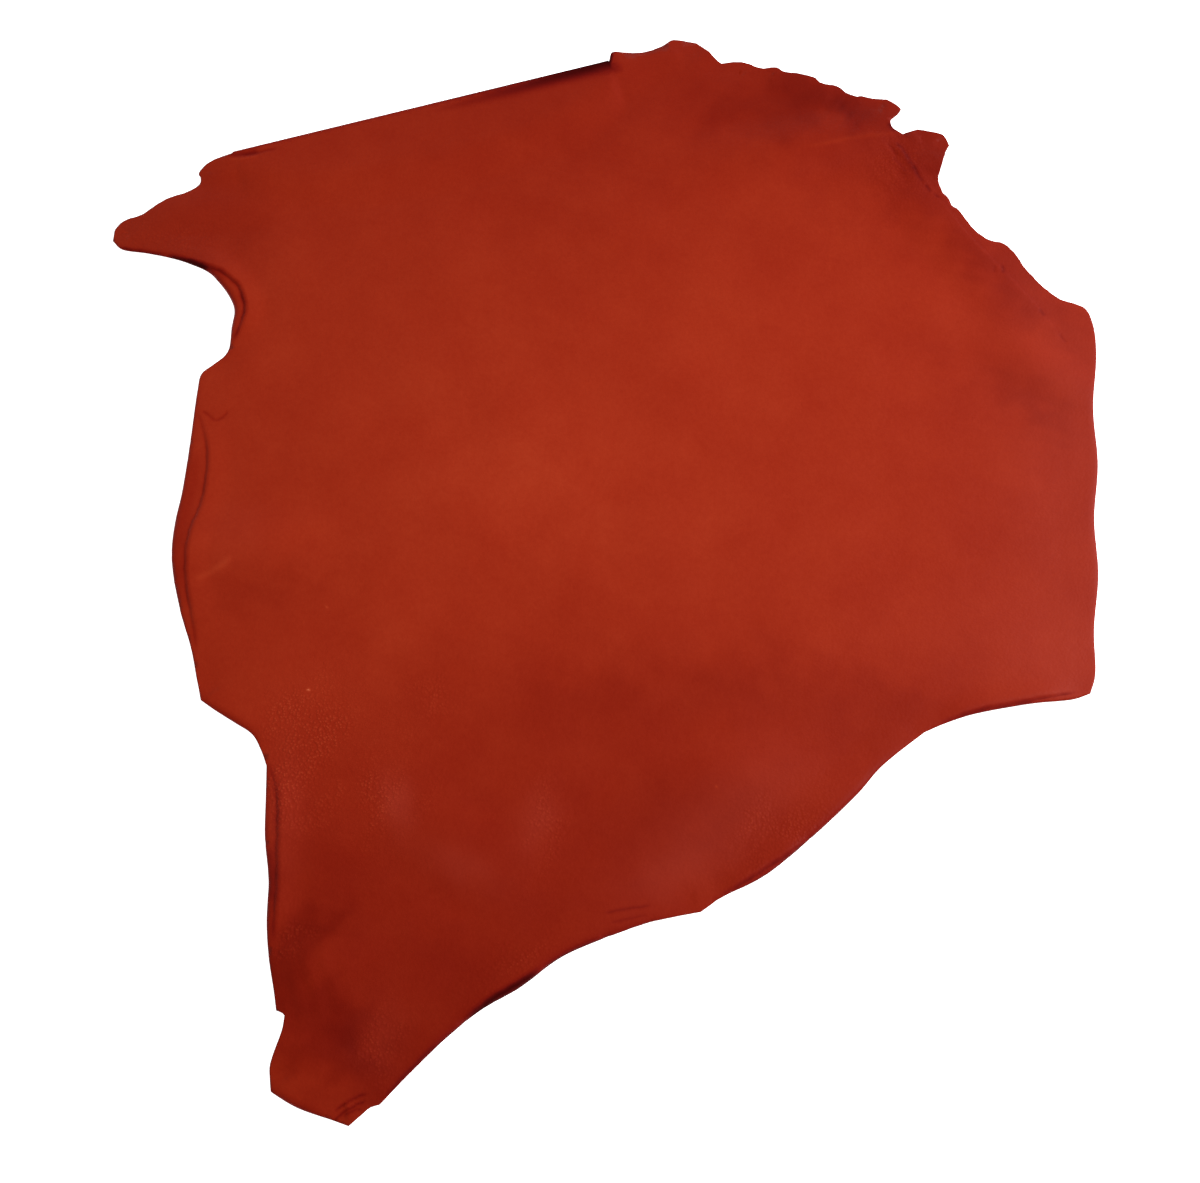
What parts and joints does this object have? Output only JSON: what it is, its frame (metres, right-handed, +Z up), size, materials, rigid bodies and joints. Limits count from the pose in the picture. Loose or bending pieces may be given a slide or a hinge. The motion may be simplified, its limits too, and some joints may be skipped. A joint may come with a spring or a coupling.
{
  "type": "dyed sheepskin leather, whole skin",
  "caption": "Whole dyed sheepskin laid grain side up, with a natural ragged outline, curled rims and its straight far flank folded under.",
  "frame": {"origin": "centre of the bounding box in plan, on the surface that the skin lies on", "axes": "+Z up from the surface, +Y from the near hind leg towards the folded far flank, +X from the rump towards the neck"},
  "size_m": [0.9426, 1.0751, 0.006],
  "materials": {
    "dyed_sheepskin": "brick-red dyed grain, soft satin with a fine pebble, suede flesh side"
  },
  "bodies": {
    "root": {"sheepskin": "dyed_sheepskin"}
  },
  "joints": []
}
